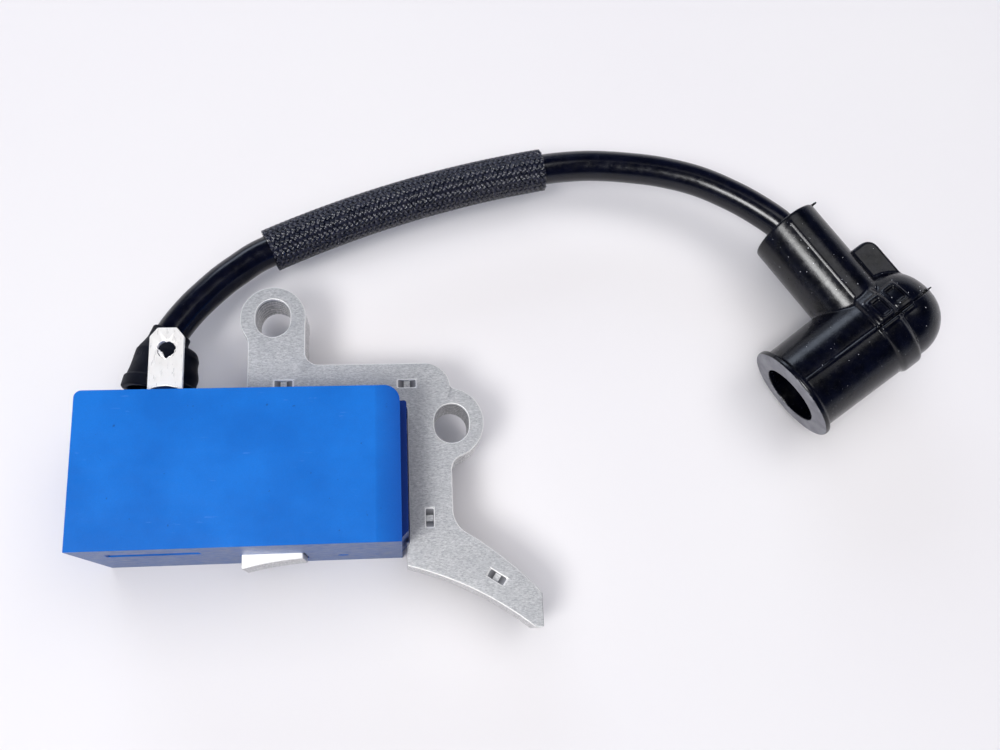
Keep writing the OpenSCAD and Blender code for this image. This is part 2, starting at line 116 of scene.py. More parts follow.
def noise(tree, vector, scale, detail=3.0, rough=0.5, distortion=0.0):
    """Noise from 0 to 1; scale is in waves per unit of vector."""
    n = tree.nodes.new("ShaderNodeTexNoise")
    n.inputs["Scale"].default_value = scale
    n.inputs["Detail"].default_value = detail
    n.inputs["Roughness"].default_value = rough
    n.inputs["Distortion"].default_value = distortion
    tree.links.new(vector, n.inputs["Vector"])
    return n.outputs["Fac"]


def ramp(tree, value, stops):
    """A colour ramp; stops are (place, grey or colour)."""
    r = tree.nodes.new("ShaderNodeValToRGB")
    elements = r.color_ramp.elements
    while len(elements) < len(stops):
        elements.new(0.5)
    for element, (place, colour) in zip(elements, stops):
        element.position = place
        if not isinstance(colour, tuple):
            colour = (colour, colour, colour)
        element.color = (*colour, 1.0)
    tree.links.new(value, r.inputs["Fac"])
    return r.outputs["Color"]


def mix(tree, fac, a, b):
    """a where fac is 0 and b where it is 1; a and b are colours or sockets."""
    m = tree.nodes.new("ShaderNodeMix")
    m.data_type = "RGBA"
    for value, socket in ((fac, m.inputs["Factor"]), (a, m.inputs["A"]), (b, m.inputs["B"])):
        if isinstance(value, bpy.types.NodeSocket):
            tree.links.new(value, socket)
        elif isinstance(value, tuple):
            socket.default_value = (*value, 1.0)
        else:
            socket.default_value = value
    return m.outputs["Result"]


def arith(tree, op, a, b, clamp=False):
    """A maths node on a and b, which are numbers or sockets."""
    m = tree.nodes.new("ShaderNodeMath")
    m.operation = op
    m.use_clamp = clamp
    for value, socket in ((a, m.inputs[0]), (b, m.inputs[1])):
        if isinstance(value, bpy.types.NodeSocket):
            tree.links.new(value, socket)
        else:
            socket.default_value = value
    return m.outputs[0]


def bump(tree, height, distance, below=None):
    """A bump whose full height is distance millimetres."""
    b = tree.nodes.new("ShaderNodeBump")
    b.inputs["Distance"].default_value = distance / 1000.0
    tree.links.new(height, b.inputs["Height"])
    if below is not None:
        tree.links.new(below, b.inputs["Normal"])
    return b.outputs["Normal"]


def facing(tree, axis, sign=1.0):
    """1 on faces that look along the axis, 0 on those square to it or looking away."""
    g = tree.nodes.new("ShaderNodeNewGeometry")
    split = tree.nodes.new("ShaderNodeSeparateXYZ")
    tree.links.new(g.outputs["True Normal"], split.inputs[0])
    return arith(tree, "MULTIPLY", split.outputs[axis], sign, clamp=True)


def along(tree, axis):
    """The object's own x, y or z, in millimetres."""
    split = tree.nodes.new("ShaderNodeSeparateXYZ")
    tree.links.new(coords(tree), split.inputs[0])
    return split.outputs[axis]


def blue_plastic():
    """Moulded nylon: fine grain, pale rubs and dark nicks, a top that falls off at its
    right with painted shade on the fall, painted shade on its right side and at the back,
    and a front whose grey-blue is a painted reflection and painted shade, broken by scuffs."""
    mat, tree, shader = new_material("blue_case_plastic")
    plain = coords(tree)
    grain = noise(tree, plain, 5.5, 4, 0.65)
    cloud = noise(tree, plain, 0.12, 3)
    blue = mix(tree, ramp(tree, cloud, [(0.35, 0.0), (0.65, 1.0)]),
               (0.0, 0.138, 0.560), (0.003, 0.170, 0.650))
    rub_line = noise(tree, coords(tree, (0.35, 2.6, 1.0), (0, 0, 14)), 1.3, 2, 0.5, 0.4)
    rub_place = noise(tree, plain, 0.22, 2)
    rubs = arith(tree, "MULTIPLY", ramp(tree, rub_line, [(0.665, 0.0), (0.72, 1.0)]),
                 ramp(tree, rub_place, [(0.55, 0.0), (0.66, 1.0)]))
    blue = mix(tree, arith(tree, "MULTIPLY", rubs, 0.6), blue, (0.06, 0.24, 0.72))
    nick = noise(tree, plain, 1.15, 2, 0.4)
    nicks = ramp(tree, nick, [(0.225, 1.0), (0.245, 0.0)])
    blue = mix(tree, arith(tree, "MULTIPLY", nicks, 0.55), blue, (0.004, 0.035, 0.16))
    fall = arith(tree, "SUBTRACT", along(tree, "X"), FALL_START)
    fall = arith(tree, "DIVIDE", fall, FALL_WIDTH, clamp=True)
    # painted shade: the top is darker towards its right where it falls off, besides the bump
    # below
    blue = mix(tree, ramp(tree, fall, [(0.0, 0.0), (0.12, 0.25), (0.75, 0.75), (1.0, 1.0)]), blue,
               (0.0, 0.085, 0.420))
    # painted shade: the right side and the rib are darkened as if in shadow
    side = arith(tree, "GREATER_THAN", along(tree, "X"), CASE_RIGHT)
    blue = mix(tree, side, blue, (0.0, 0.030, 0.210))
    scuff = noise(tree, coords(tree, (0.5, 1.0, 2.4)), 0.9, 5, 0.7)
    front = ramp(tree, facing(tree, "Y", -1.0), [(0.6, 0.0), (0.85, 1.0)])
    # painted reflection and painted shade: the front's grey-blue stands in for the floor's
    # reflection on a shaded face, broken up by scuff noise
    front_reflection_and_scuffs = mix(tree, ramp(tree, scuff, [(0.42, 0.0), (0.60, 1.0)]),
               (0.022, 0.105, 0.370), (0.165, 0.210, 0.345))
    blue = mix(tree, front, blue, front_reflection_and_scuffs)
    # painted shade on the tower and the boss at the back, under the tab
    rear_shade = arith(tree, "GREATER_THAN", along(tree, "Y"), CASE_BACK)
    blue = mix(tree, rear_shade, blue, (0.0, 0.012, 0.070))
    speckle = ramp(tree, grain, [(0.25, 0.88), (0.75, 1.0)])
    shade = tree.nodes.new("ShaderNodeMix")
    shade.data_type = "RGBA"
    shade.blend_type = "MULTIPLY"
    shade.inputs["Factor"].default_value = 1.0
    tree.links.new(blue, shade.inputs["A"])
    tree.links.new(speckle, shade.inputs["B"])
    tree.links.new(shade.outputs["Result"], shader.inputs["Base Color"])
    roughness = ramp(tree, noise(tree, plain, 0.9, 4), [(0.3, 0.34), (0.7, 0.43)])
    tree.links.new(roughness, shader.inputs["Roughness"])
    wave = noise(tree, coords(tree, (0.5, 1.2, 1.0)), 0.35, 2)
    normal = bump(tree, wave, 0.05)
    normal = bump(tree, arith(tree, "SUBTRACT", 1.0, fall), FALL_DEPTH, normal)
    tree.links.new(bump(tree, grain, 0.007, normal), shader.inputs["Normal"])
    shader.inputs["Specular IOR Level"].default_value = 0.12
    return mat


def core_steel():
    """Electrical steel: rolled grain, cloudy oxide, cut sides with a line at each sheet, painted
    highlights on the top edges, painted shade down the clinches' slopes and a bright bare tip on
    the leg."""
    mat, tree, shader = new_material("core_sheet_steel")
    rolled = noise(tree, coords(tree, (1.1, 3.4, 1.0)), 2.4, 5, 0.72)
    fine = noise(tree, coords(tree, (2.6, 5.0, 2.0)), 3.0, 3, 0.6)
    cloud = noise(tree, coords(tree), 0.32, 4, 0.6)
    flat = mix(tree, ramp(tree, rolled, [(0.34, 0.0), (0.66, 1.0)]),
               (0.250, 0.255, 0.265), (0.610, 0.612, 0.612))
    flat = mix(tree, ramp(tree, cloud, [(0.38, 0.0), (0.72, 0.40)]), flat, (0.35, 0.355, 0.37))
    cut = mix(tree, ramp(tree, noise(tree, coords(tree, (3.0, 3.0, 0.5)), 1.7, 3, 0.6),
                         [(0.35, 0.0), (0.65, 1.0)]),
              (0.48, 0.475, 0.47), (0.84, 0.83, 0.82))
    # painted highlight: a brighter band along the top of the cut sides
    top_band_highlight = arith(tree, "GREATER_THAN", along(tree, "Z"), CORE_TOP - TOP_BAND)
    cut = mix(tree, top_band_highlight, cut, (0.92, 0.91, 0.90))
    sheet = arith(tree, "DIVIDE", arith(tree, "SUBTRACT", along(tree, "Z"), CORE_LOW), SHEET_T)
    across_sheets = arith(tree, "FRACT", sheet, 0.0)
    line = ramp(tree, across_sheets, [(0.0, 0.30), (0.09, 1.0), (0.91, 1.0), (1.0, 0.30)])
    cut = mix(tree, line, (0.05, 0.05, 0.055), cut)
    tip = arith(tree, "MULTIPLY", arith(tree, "LESS_THAN", along(tree, "X"), LEG_TIP[0]),
                arith(tree, "LESS_THAN", along(tree, "Y"), LEG_TIP[1]))
    flat = mix(tree, tip, flat, (0.90, 0.89, 0.88))
    up = facing(tree, "Z")
    height = along(tree, "Z")
    # painted highlight: slopes on the top sheet's rounded edges are pale
    sunk = arith(tree, "LESS_THAN", height, CORE_TOP - TOP_ROUNDING)
    slope = ramp(tree, up, [(0.20, 0.0), (0.30, 1.0), (0.93, 1.0), (0.97, 0.0)])
    # painted shade: the clinches' slopes darken towards their bottom
    depth = arith(tree, "SUBTRACT", height, CORE_TOP - TROUGH_DEPTH)
    depth = arith(tree, "MULTIPLY", depth, 2.0, clamp=True)
    trough_shade = mix(tree, depth, (0.06, 0.06, 0.065), (0.30, 0.30, 0.31))
    flat = mix(tree, slope, flat, mix(tree, sunk, (0.80, 0.79, 0.77), trough_shade))
    top = ramp(tree, up, [(0.25, 0.0), (0.45, 1.0)])
    tree.links.new(mix(tree, top, cut, flat), shader.inputs["Base Color"])
    rough = mix(tree, top, (0.34, 0.34, 0.34), ramp(tree, fine, [(0.3, 0.40), (0.7, 0.56)]))
    tree.links.new(rough, shader.inputs["Roughness"])
    shader.inputs["Metallic"].default_value = 0.45
    normal = bump(tree, rolled, 0.012)
    tree.links.new(bump(tree, fine, 0.006, normal), shader.inputs["Normal"])
    return mat


def tinned_steel():
    """Bright tin with soft clouds and streaks along the blade."""
    mat, tree, shader = new_material("tinned_terminal")
    streak = noise(tree, coords(tree, (3.0, 0.5, 1.0)), 0.9, 4, 0.6)
    cloud = noise(tree, coords(tree), 0.7, 3)
    colour = mix(tree, ramp(tree, cloud, [(0.35, 0.0), (0.7, 1.0)]),
                 (0.93, 0.905, 0.86), (0.97, 0.955, 0.92))
    tree.links.new(colour, shader.inputs["Base Color"])
    tree.links.new(ramp(tree, streak, [(0.3, 0.24), (0.7, 0.40)]), shader.inputs["Roughness"])
    shader.inputs["Metallic"].default_value = 0.3
    tree.links.new(bump(tree, streak, 0.004), shader.inputs["Normal"])
    return mat


def rubber(name, deep, sheen, rough, shine=0.4, grit=0.010, dust=0.0):
    """Black rubber with a faint bluish bloom, fine grain and, if asked, dust."""
    mat, tree, shader = new_material(name)
    plain = coords(tree)
    bloom = noise(tree, plain, 0.45, 3)
    colour = mix(tree, ramp(tree, bloom, [(0.35, 0.0), (0.72, 1.0)]), deep, sheen)
    if dust > 0:
        cells = tree.nodes.new("ShaderNodeTexVoronoi")
        cells.inputs["Scale"].default_value = 1.25
        tree.links.new(plain, cells.inputs["Vector"])
        split = tree.nodes.new("ShaderNodeSeparateColor")
        tree.links.new(cells.outputs["Color"], split.inputs["Color"])
        size = arith(tree, "MULTIPLY", split.outputs["Red"], 0.11)
        spot = arith(tree, "LESS_THAN", cells.outputs["Distance"], size)
        few = arith(tree, "GREATER_THAN", split.outputs["Green"], 1.0 - dust)
        patch = ramp(tree, noise(tree, plain, 0.11, 1), [(0.42, 0.0), (0.58, 1.0)])
        specks = arith(tree, "MULTIPLY", arith(tree, "MULTIPLY", spot, few), patch)
        colour = mix(tree, specks, colour, (0.62, 0.63, 0.66))
    tree.links.new(colour, shader.inputs["Base Color"])
    rub = noise(tree, plain, 1.1, 4, 0.6)
    tree.links.new(ramp(tree, rub, [(0.3, rough - 0.07), (0.7, rough + 0.07)]),
                   shader.inputs["Roughness"])
    grain = noise(tree, plain, 4.0, 3, 0.6)
    normal = bump(tree, rub, 2 * grit)
    tree.links.new(bump(tree, grain, grit, normal), shader.inputs["Normal"])
    shader.inputs["Specular IOR Level"].default_value = shine
    return mat


def filament():
    """Black braid monofilament, glossy along its length."""
    mat, tree, shader = new_material("braid_filament")
    vary = noise(tree, coords(tree), 1.3, 2)
    colour = mix(tree, ramp(tree, vary, [(0.35, 0.0), (0.65, 1.0)]),
                 (0.002, 0.003, 0.010), (0.009, 0.010, 0.026))
    tree.links.new(colour, shader.inputs["Base Color"])
    tree.links.new(ramp(tree, vary, [(0.3, 0.20), (0.7, 0.32)]), shader.inputs["Roughness"])
    shader.inputs["Specular IOR Level"].default_value = 0.8
    return mat


def simple(name, low, high, rough, metallic=0.0, scale=0.8, stretch=(1, 1, 1), depth=0.015):
    """A small part's surface: two tones, uneven roughness and a fine bump."""
    mat, tree, shader = new_material(name)
    tone = noise(tree, coords(tree, stretch), scale, 4, 0.6)
    colour = mix(tree, ramp(tree, tone, [(0.35, 0.0), (0.65, 1.0)]), low, high)
    tree.links.new(colour, shader.inputs["Base Color"])
    tree.links.new(ramp(tree, tone, [(0.3, rough - 0.06), (0.7, rough + 0.06)]),
                   shader.inputs["Roughness"])
    tree.links.new(bump(tree, tone, depth), shader.inputs["Normal"])
    shader.inputs["Metallic"].default_value = metallic
    return mat


MATERIALS = {
    "blue_case": blue_plastic(),
    "core_steel": core_steel(),
    "tinned": tinned_steel(),
    "black_rubber": rubber("boot_rubber", (0.0002, 0.0003, 0.0014), (0.0012, 0.0017, 0.0068),
                           0.23, 0.42, 0.006, dust=0.8),
    "gland_rubber": rubber("gland_rubber", (0.0006, 0.0013, 0.0045), (0.0025, 0.0042, 0.0110),
                           0.55, 0.12),
    "lead_jacket": rubber("lead_jacket", (0.0006, 0.0009, 0.0045), (0.0020, 0.0026, 0.0095),
                          0.21, 0.42, 0.0015),
    "braid": filament(),
    "potting": simple("potting_resin", (0.006, 0.006, 0.006), (0.016, 0.015, 0.014), 0.30,
                      scale=0.25, depth=0.12),
    "bobbin": simple("bobbin_plastic", (0.52, 0.49, 0.40), (0.62, 0.59, 0.50), 0.5),
    "copper_wire": simple("wound_copper", (0.30, 0.09, 0.03), (0.55, 0.22, 0.08), 0.3, 0.9,
                          1.5, (0.2, 4.0, 0.2), 0.06),
    "board": simple("board_laminate", (0.010, 0.065, 0.020), (0.018, 0.100, 0.032), 0.45),
    "capacitor": simple("capacitor_dip", (0.30, 0.030, 0.016), (0.40, 0.045, 0.022), 0.25),
    "component": simple("package_plastic", (0.008, 0.008, 0.009), (0.018, 0.018, 0.020), 0.45),
    "resistor": simple("resistor_lacquer", (0.36, 0.25, 0.11), (0.46, 0.34, 0.17), 0.35),
    "brass_pin": simple("turned_brass", (0.52, 0.36, 0.11), (0.66, 0.48, 0.18), 0.28, 1.0),
    "spring_wire": simple("spring_wire", (0.42, 0.42, 0.44), (0.58, 0.58, 0.60), 0.25, 1.0),
}
slot_of = {s["node"]: s["material_slot"] for s in frame["record"]["subparts"]}


def wear(obj, mat):
    """Gives obj this one material."""
    obj.data.materials.clear()
    obj.data.materials.append(mat)


for name, obj in nodes.items():
    wear(obj, MATERIALS[slot_of[name]])
    obj.data.shade_smooth()


def round_edges(obj, width, segments=2, angle=35):
    """Welds the CAD mesh and rounds its sharp edges by width millimetres."""
    weld = obj.modifiers.new("weld", "WELD")
    weld.merge_threshold = 2e-6
    bevel = obj.modifiers.new("bevel", "BEVEL")
    bevel.width = width / 1000.0
    bevel.segments = segments
    bevel.limit_method = "ANGLE"
    bevel.angle_limit = math.radians(angle)
    obj.modifiers.new("normals", "WEIGHTED_NORMAL")


# ---------------------------------------------------------------- mesh tools

def add_mesh(name, verts_mm, faces, mat, body):
    """A mesh from millimetre points; it rides on body."""
    mesh = bpy.data.meshes.new(name)
    mesh.from_pydata(at(verts_mm).tolist(), [], [list(f) for f in faces])
    mesh.validate()
    obj = bpy.data.objects.new(name, mesh)
    scene.collection.objects.link(obj)
    mesh.materials.append(mat)
    mesh.shade_smooth()
    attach(obj, body)
    return obj


def soft_min(a, b, k):
    """The smaller of a and b, blended where they differ by less than k."""
    h = np.clip(0.5 + 0.5 * (b - a) / k, 0, 1)
    return b + (a - b) * h - k * h * (1 - h)


def soft_max(a, b, k):
    """The larger of a and b, blended in the same way."""
    return -soft_min(-a, -b, k)


def box_field(x, y, z, centre, half, r):
    """Distance to a box with edges rounded by r."""
    qx = np.abs(x - centre[0]) - half[0] + r
    qy = np.abs(y - centre[1]) - half[1] + r
    qz = np.abs(z - centre[2]) - half[2] + r
    out = np.sqrt(np.maximum(qx, 0) ** 2 + np.maximum(qy, 0) ** 2 + np.maximum(qz, 0) ** 2)
    return out + np.minimum(np.maximum(qx, np.maximum(qy, qz)), 0) - r


def mesh_of_field(field, low, high, step):
    """Points and quads of the surface where field is 0, by surface nets."""
    axes = [np.arange(a, b + step, step, dtype=np.float32) for a, b in zip(low, high)]
    grid = np.meshgrid(*axes, indexing="ij")
    d = field(*grid).astype(np.float32)
    del grid
    inside = d < 0
    cells = tuple(n - 1 for n in d.shape)
    total = np.zeros(cells + (3,), np.float32)
    count = np.zeros(cells, np.int8)
    edges = []
    for axis in range(3):
        a = [slice(None)] * 3
        b = [slice(None)] * 3
        a[axis], b[axis] = slice(0, -1), slice(1, None)
        da, db = d[tuple(a)], d[tuple(b)]
        crossed = inside[tuple(a)] != inside[tuple(b)]
        t = np.where(crossed, da / np.where(crossed, da - db, 1), 0)
        edges.append((crossed, inside[tuple(a)]))
        u, v = [k for k in range(3) if k != axis]
        for su in (0, 1):
            for sv in (0, 1):
                pick = [slice(None)] * 3
                pick[u] = slice(su, su + cells[u])
                pick[v] = slice(sv, sv + cells[v])
                hit = crossed[tuple(pick)]
                count += hit
                total[..., axis] += np.where(hit, t[tuple(pick)], 0)
                total[..., u] += np.where(hit, su, 0)
                total[..., v] += np.where(hit, sv, 0)
    active = count > 0
    index = np.full(cells, -1, np.int64)
    index[active] = np.arange(active.sum())
    where = np.argwhere(active)
    points = (where + total[active] / count[active][:, None]) * step
    points += np.array([axis[0] for axis in axes])
    quads = []
    for axis, (crossed, first_in) in enumerate(edges):
        u, v = (axis + 1) % 3, (axis + 2) % 3
        pick = [slice(None)] * 3
        pick[u] = slice(1, -1)
        pick[v] = slice(1, -1)
        hit = np.argwhere(crossed[tuple(pick)])
        hit[:, u] += 1
        hit[:, v] += 1
        step_u = np.zeros(3, int)
        step_v = np.zeros(3, int)
        step_u[u] = 1
        step_v[v] = 1
        corners = [hit - step_u - step_v, hit - step_v, hit, hit - step_u]
        quad = np.stack([index[tuple(c.T)] for c in corners], axis=1)
        flip = ~first_in[tuple(hit.T)]
        quad[flip] = quad[flip][:, ::-1]
        quads.append(quad)
    quads = np.concatenate(quads)
    points = points.astype(np.float64)
    # three small steps down the slope bring the points onto the surface
    for _ in range(3):
        h = step * 0.25
        value = field(*points.T)
        slope = np.stack([
            (field(*(points + np.eye(3)[k] * h).T) - field(*(points - np.eye(3)[k] * h).T))
            / (2 * h) for k in range(3)], axis=1)
        size = np.maximum((slope ** 2).sum(axis=1), 0.05)
        move = -(value / size)[:, None] * slope
        reach = np.linalg.norm(move, axis=1, keepdims=True)
        points += move * np.minimum(1, 0.4 * step / np.maximum(reach, 1e-9))
    return points, quads


def from_boot(points):
    """Points in the boot's frame to part.scad's drawing."""
    c, s = math.cos(BOOT_TURN), math.sin(BOOT_TURN)
    to_dome = np.array([c * math.cos(BOOT_DIP), s * math.cos(BOOT_DIP), math.sin(BOOT_DIP)])
    to_rim = np.array([-s, c, 0.0])
    return BOOT + points @ np.stack([to_dome, to_rim, np.cross(to_dome, to_rim)])


# ---------------------------------------------------------------- the lead

ROUTE = [
    (7.4, 22.3), (7.4, 25.2), (7.4, 27.2), (7.5, 29.2), (7.9, 31.2), (8.6, 33.1),
    (9.6, 35), (10.9, 36.9), (12.5, 38.9), (14.5, 41), (16.8, 43.2), (19.2, 45.1),
    (21.5, 46.8), (23.9, 48.1), (32, 51.7), (40.8, 55.1), (49.8, 58), (58.9, 60.4),
    (68.1, 62.4)]
RISING = [
    (72.2, 62.9, 0.1), (76.4, 63, 0.35), (81.8, 62.5, 0.8), (88, 61.4, 1.35),
    (94.2, 59.4, 1.9), (99.8, 56.4, 2.4), (103.8, 53.6, 2.75)]
BOOT_STEPS = [22.4, 18, 12, 6, -2]
route = [np.array((x, y, LEAD_Z)) for x, y in ROUTE]
route += [np.array((x, y, LEAD_Z + rise)) for x, y, rise in RISING]
route += [BOOT + s * np.array((-math.sin(BOOT_TURN), math.cos(BOOT_TURN), 0))
          for s in BOOT_STEPS]

lead_curve = bpy.data.curves.new("ht_lead_cord", "CURVE")
lead_curve.dimensions = "3D"
lead_curve.bevel_depth = 0.0025
lead_curve.bevel_resolution = 10
lead_curve.resolution_u = 10
lead_curve.use_fill_caps = True
spline = lead_curve.splines.new("BEZIER")
spline.bezier_points.add(len(route) - 1)
for i, (point, p) in enumerate(zip(spline.bezier_points, route)):
    before = route[max(i - 1, 0)]
    after = route[min(i + 1, len(route) - 1)]
    way = (after - before) / np.linalg.norm(after - before)
    back = np.linalg.norm(p - before) / 3
    ahead = np.linalg.norm(after - p) / 3
    point.co = at(p)
    point.handle_left = at(p - way * back)
    point.handle_right = at(p + way * ahead)
lead = bpy.data.objects.new("ht_lead_cord", lead_curve)
scene.collection.objects.link(lead)
lead_curve.materials.append(MATERIALS["lead_jacket"])
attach(lead, "coil")
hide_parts("ht_lead")


# ---------------------------------------------------------------- braided sleeve

def on_bend(s, out, up):
    """Points at s along the sleeve, out from the bend's radius and up, in millimetres."""
    angle = SLEEVE_MID - s / BEND_R
    r = BEND_R + out
    return np.stack([BEND[0] + r * np.cos(angle), BEND[1] + r * np.sin(angle),
                     np.full_like(angle, LEAD_Z) + up], axis=-1)


def braid():
    """Two sets of flat strands, each over one and under one of the other set."""
    rng = np.random.default_rng(7)
    count = 16
    mean_r = 3.20
    rise = 2 * math.pi / count
    pitch = 0.84
    wave = 0.125
    half = SLEEVE_L / 2
    steps = 5
    s = np.linspace(-half, half, int(SLEEVE_L / (pitch / 2)) * steps + 1)
    width = 0.62
    across = np.array([-0.5, -0.40, -0.30, -0.165, -0.05, 0.0, 0.05, 0.165, 0.30, 0.40, 0.5])
    ridge = 0.115 * np.abs(np.sin(3 * math.pi * (across + 0.5))) ** 0.6
    profile = [(a * width, h) for a, h in zip(across, ridge)]
    profile += [(a * width, -0.02) for a in (0.42, 0.0, -0.42)]
    sides = len(profile)
    i, j = np.meshgrid(np.arange(len(s) - 1), np.arange(sides), indexing="ij")
    verts = []
    faces = []
    base = 0
    for way in (1, -1):
        lean = math.atan2(mean_r * rise, pitch) * way
        for k in range(count):
            drift = 0.02 * np.sin(s * rng.uniform(0.25, 0.5) + rng.uniform(0, 6.3))
            theta = way * (s + half) / pitch * rise + k * rise + rng.normal(0, 0.014) + drift
            over = way * np.cos(2 * math.pi * (s + half) / pitch)
            r = mean_r + wave * np.tanh(1.8 * over) / math.tanh(1.8)
            rings = []
            for a, h in profile:
                t = theta + a * math.cos(lean) / mean_r
                rings.append(on_bend(np.clip(s - a * math.sin(lean), -half, half),
                                     (r + h) * np.cos(t), (r + h) * np.sin(t)))
            verts.append(np.stack(rings, axis=1).reshape(-1, 3))
            a0 = base + i * sides + j
            a1 = base + i * sides + (j + 1) % sides
            quad = np.stack([a0, a1, a1 + sides, a0 + sides], axis=-1).reshape(-1, 4)
            faces.extend(quad.tolist() if way > 0 else quad[:, ::-1].tolist())
            faces.append([base + m for m in range(sides)][::-1])
            faces.append([base + (len(s) - 1) * sides + m for m in range(sides)])
            base += len(s) * sides
    return np.concatenate(verts), faces


verts, faces = braid()
sleeve = add_mesh("braided_sleeve_strands", verts, faces, MATERIALS["braid"], "sleeve")
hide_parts("braided_sleeve")


# ---------------------------------------------------------------- plug boot

# millimetres in the boot's frame: x runs to the dome and y to the lead's rim
MOUTH_X = -16.8
BARREL_R = 7.36
COLLAR_R = 8.03
STEM_R = 5.77
STEM_END = 21.85
LIP_R = 7.75
SOCKET_R = 5.0
SOCKET_FLOOR = -6.6
CHAMBER_R = 3.7
CHAMBER_FLOOR = -2.4
THROAT_R = 2.0
LEAD_BORE_R = 2.62      # the gland's bore too
SEAM_Y = 0.22


def boot_field(x, y, z):
    """The boot around its axes: x to the dome, y to the lead's rim; solid below 0."""
    r = np.sqrt(y * y + z * z)
    rl = np.sqrt(x * x + z * z)
    leaning = x + 0.16 * z
    barrel_r = BARREL_R + 0.012 * (x + 16)
    barrel = soft_max(r - barrel_r, x - 3.0, 1.0)
    barrel = np.maximum(barrel, MOUTH_X - x)
    collar = soft_max(r - COLLAR_R, np.abs(leaning - 1.52) - 1.95, 0.9)
    dome = np.sqrt((x - 4.4) ** 2 + (y + 0.6) ** 2 + z * z) - 6.82
    lobe = np.sqrt((x - 4.6) ** 2 + (y - 0.7) ** 2 + z * z) - 6.42
    stem = soft_max(rl - STEM_R, y - 0.15 * z - STEM_END, 0.35)
    stem = np.maximum(stem, -y)
    past_lip = np.maximum(np.abs(x + 16.25) - 0.1, 0)
    lip = np.sqrt(np.maximum(r - LIP_R, 0) ** 2 + past_lip ** 2) - 0.45
    body = soft_min(soft_min(barrel, collar, 0.25), soft_min(dome, lobe, 0.4), 0.2)
    body = soft_min(body, stem, 0.25)
    grip = box_field(x, y, z, (5.75, 5.7, 0), (3.8, 6.7, 1.95), 0.6)
    corner = np.sqrt(np.maximum(x - 7.15, 0) ** 2 + np.maximum(y - 10.0, 0) ** 2) - 2.4
    body = soft_min(body, soft_max(grip, corner, 0.3), 0.35)
    body = soft_min(body, lip, 0.45)
    # on the elbow's top: two framed pockets, a rib along the slit and the slit
    top = z > 0
    skin = body
    rib = np.maximum(np.abs(y + 0.48) - 0.30, np.abs(x - 2.0) - 3.5)
    for cx, cy, hx, hy in ((0.85, 2.5, 1.15, 1.75), (4.55, 2.75, 1.15, 1.6)):
        ring = np.abs(soft_max(np.abs(x - cx) - hx, np.abs(y - cy) - hy, 0.5)) - 0.24
        rib = np.minimum(rib, ring)
    rib = np.where(top, soft_max(rib, skin - 0.14, 0.2), 5.0)
    body = soft_min(body, rib, 0.2)
    for cx, cy, hx, hy in ((0.95, 2.35, 0.72, 1.2), (4.6, 2.6, 0.85, 1.15)):
        hole = soft_max(np.abs(x - cx) - hx, np.abs(y - cy) - hy, 0.3)
        hole = np.where(top, soft_max(hole, -skin - 0.38, 0.3), 5.0)
        body = soft_max(body, -hole, 0.3)
    slit = np.sqrt((y - 0.1) ** 2 + np.maximum(np.abs(body) - 0.35, 0) ** 2) - 0.15
    body = soft_max(body, -np.where((x > -1.7) & (x < 9.8) & top, slit, 5.0), 0.08)
    # parting lines and the flash left by the mould
    seam_y = SEAM_Y - 0.018 * (x + 1.6)
    seam = np.sqrt((y - seam_y) ** 2 + np.maximum(np.abs(r - barrel_r) - 0.02, 0) ** 2) - 0.16
    body = soft_min(body, np.where((x > -15.6) & (x < -1.4) & top, seam, 5.0), 0.2)
    stem_seam = np.sqrt((x + 0.5) ** 2 + (rl - STEM_R) ** 2) - 0.09
    body = soft_min(body, np.where((y > 6.0) & (y < 21.6) & top, stem_seam, 5.0), 0.25)
    nub = box_field(x, y, z, (10.3, 0.05, 2.6), (0.85, 0.12, 0.5), 0.1)
    body = soft_min(body, nub, 0.12)
    fin = np.maximum(np.abs(z - 0.6) - 0.18, np.abs(y - 22.2) - 0.26 + (x - 5.6) * 0.10)
    fin = soft_max(fin, np.maximum(x - 6.9, 4.6 - x), 0.15)
    body = soft_min(body, fin, 0.15)
    # bores
    socket = np.maximum(r - SOCKET_R, x - SOCKET_FLOOR)
    chamber = np.maximum(r - CHAMBER_R, x - CHAMBER_FLOOR)
    throat = np.maximum(r - THROAT_R, x)
    flare = np.clip((y - 20.6) / 1.5, 0, 1) * 0.75
    lead_bore = np.maximum(rl - LEAD_BORE_R - flare, -2.2 - y)
    for bore in (socket, chamber, throat, lead_bore):
        body = soft_max(body, -bore, 0.12)
    return body


points, quads = mesh_of_field(boot_field, (-17.2, -9.0, -9.0), (12.0, 23.6, 9.0), step=0.2)
boot = add_mesh("plug_boot_rubber", from_boot(points), quads,
                MATERIALS["black_rubber"], "coil")
boot.data.materials.append(rubber("boot_mouth_rubber", (0.20, 0.20, 0.22), (0.31, 0.31, 0.335),
                                  0.6, 0.3))
centre = points[quads].mean(axis=1)
off_axis = np.hypot(centre[:, 1], centre[:, 2])
mouth = (centre[:, 0] < MOUTH_X + 0.18) & (off_axis > SOCKET_R + 0.05)
boot.data.polygons.foreach_set("material_index", mouth.astype(np.int32))
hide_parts("plug_boot")


# ---------------------------------------------------------------- gland

GLAND = np.array([7.6, 24.8, LEAD_Z])
GLAND_LEAN = math.radians(12)
NECK_FOOT = np.array([8.1, 31.6, LEAD_Z])
NECK_LEAN = math.radians(22.8)
NECK_R = 2.98


